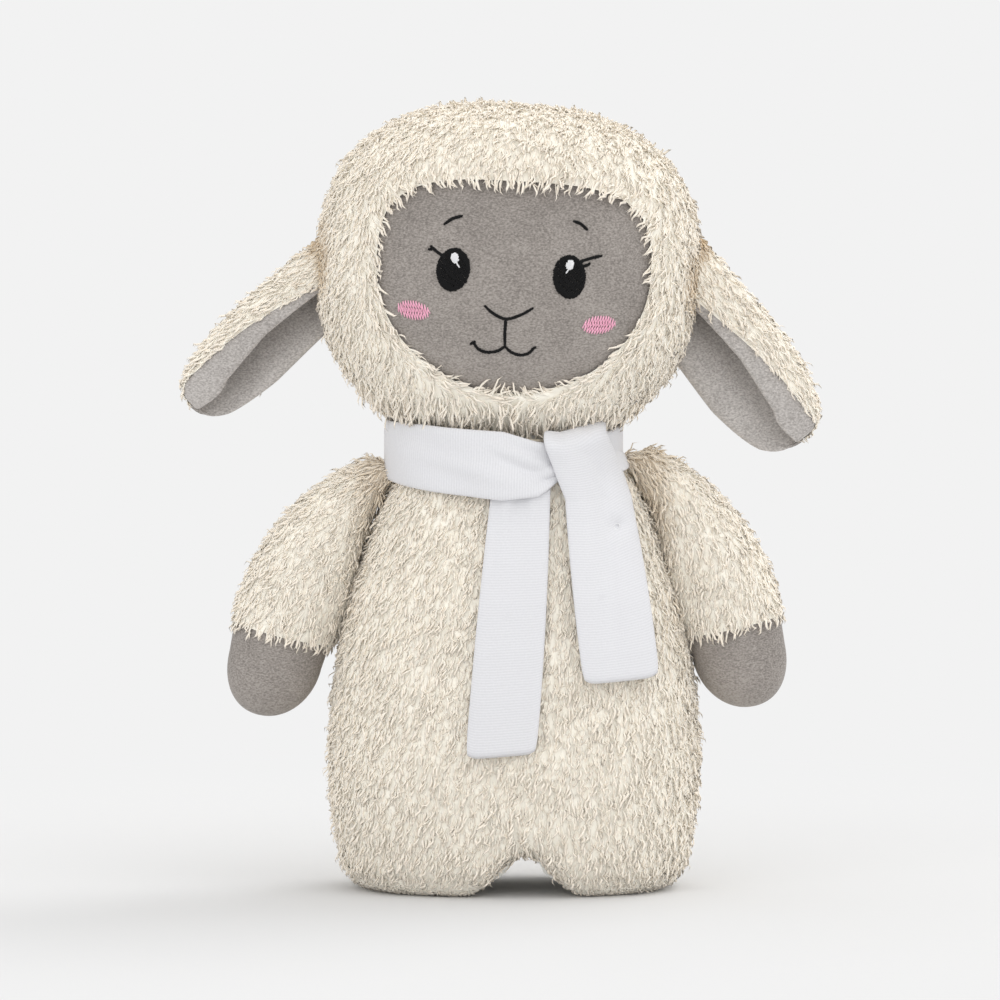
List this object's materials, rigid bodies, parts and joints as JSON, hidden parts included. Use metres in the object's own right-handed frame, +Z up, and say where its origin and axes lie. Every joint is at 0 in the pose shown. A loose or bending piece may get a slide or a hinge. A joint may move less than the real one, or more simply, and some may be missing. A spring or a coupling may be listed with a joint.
{
  "type": "plush sheep",
  "caption": "Standing plush sheep of curly cream fleece with a grey embroidered face, drooping ears, grey hands and a white knotted scarf.",
  "frame": {"origin": "on the floor under the middle of the toy's bounding box", "axes": "+Z up, -Y the way the face looks, +X towards the sheep's own left side; the torso stands 3 mm left of the origin because the ears reach out unevenly"},
  "size_m": [0.217, 0.0904, 0.2664],
  "materials": {
    "fleece": "curly cream lambskin-style fleece, 6 mm pile",
    "velboa": "short grey velboa pile",
    "jersey": "fine white jersey knit",
    "fibrefill": "white polyester fibre filling",
    "cream_thread": "cream sewing thread",
    "black_thread": "black rayon embroidery thread",
    "white_thread": "white rayon embroidery thread",
    "pink_thread": "pink rayon embroidery thread"
  },
  "bodies": {
    "torso": {"torso_front_panel": "fleece", "torso_back_left_panel": "fleece", "torso_back_right_panel": "fleece", "left_sole": "fleece", "right_sole": "fleece", "torso_filling": "fibrefill", "scarf_loop": "jersey", "scarf_turn": "jersey"},
    "neck": {"neck_filling": "fibrefill"},
    "neck_seam": {"neck_gathering_thread": "cream_thread"},
    "head": {"head_front_panel": "fleece", "head_back_left_panel": "fleece", "head_back_right_panel": "fleece", "face_panel": "velboa", "head_filling": "fibrefill", "left_eye": "black_thread", "left_eye_glint": "white_thread", "left_eyelash": "black_thread", "left_brow": "black_thread", "left_cheek": "pink_thread", "right_eye": "black_thread", "right_eye_glint": "white_thread", "right_eyelash": "black_thread", "right_brow": "black_thread", "right_cheek": "pink_thread", "nose_and_mouth": "black_thread"},
    "left_ear": {"left_ear_back": "fleece", "left_ear_lining": "velboa"},
    "right_ear": {"right_ear_back": "fleece", "right_ear_lining": "velboa"},
    "left_arm": {"left_sleeve_front": "fleece", "left_sleeve_back": "fleece", "left_hand_front": "velboa", "left_hand_back": "velboa", "left_arm_filling": "fibrefill"},
    "right_arm": {"right_sleeve_front": "fleece", "right_sleeve_back": "fleece", "right_hand_front": "velboa", "right_hand_back": "velboa", "right_arm_filling": "fibrefill"},
    "scarf_short_end": {"scarf_short_tail": "jersey", "scarf_tack": "white_thread"},
    "scarf_long_end": {"scarf_long_tail": "jersey"}
  },
  "joints": [
    {"name": "head_turn", "type": "hinge", "parent": "torso", "child": "neck", "pos_m": [0.003, 0, 0.15], "axis": [0, 0, 1], "range_deg": [-18, 18], "stiffness_Nm_per_rad": 0.3},
    {"name": "head_tilt", "type": "hinge", "parent": "neck", "child": "neck_seam", "pos_m": [0.003, 0, 0.15], "axis": [0, 1, 0], "range_deg": [-4, 4], "stiffness_Nm_per_rad": 0.6},
    {"name": "head_nod", "type": "hinge", "parent": "neck_seam", "child": "head", "pos_m": [0.003, 0, 0.15], "axis": [1, 0, 0], "range_deg": [-6, 6], "stiffness_Nm_per_rad": 0.6},
    {"name": "left_ear_flap", "type": "hinge", "parent": "head", "child": "left_ear", "pos_m": [0.06409, 0.003, 0.22038], "axis": [0, -1, 0], "range_deg": [-8, 40], "stiffness_Nm_per_rad": 0.02},
    {"name": "right_ear_flap", "type": "hinge", "parent": "head", "child": "right_ear", "pos_m": [-0.06111, 0.003, 0.22059], "axis": [0, 1, 0], "range_deg": [-8, 40], "stiffness_Nm_per_rad": 0.02},
    {"name": "left_arm_lift", "type": "hinge", "parent": "torso", "child": "left_arm", "pos_m": [0.05, 0, 0.1445], "axis": [0, -1, 0], "range_deg": [0, 45], "stiffness_Nm_per_rad": 0.05},
    {"name": "right_arm_lift", "type": "hinge", "parent": "torso", "child": "right_arm", "pos_m": [-0.0445, 0, 0.1415], "axis": [0, 1, 0], "range_deg": [0, 45], "stiffness_Nm_per_rad": 0.05},
    {"name": "short_end_lift", "type": "hinge", "parent": "torso", "child": "scarf_short_end", "pos_m": [0.031, -0.032, 0.1345], "axis": [-0.8, -0.6, 0], "range_deg": [0, 70]},
    {"name": "long_end_lift", "type": "hinge", "parent": "torso", "child": "scarf_long_end", "pos_m": [0.004, -0.0335, 0.1337], "axis": [-1, 0, 0], "range_deg": [0, 70]}
  ]
}
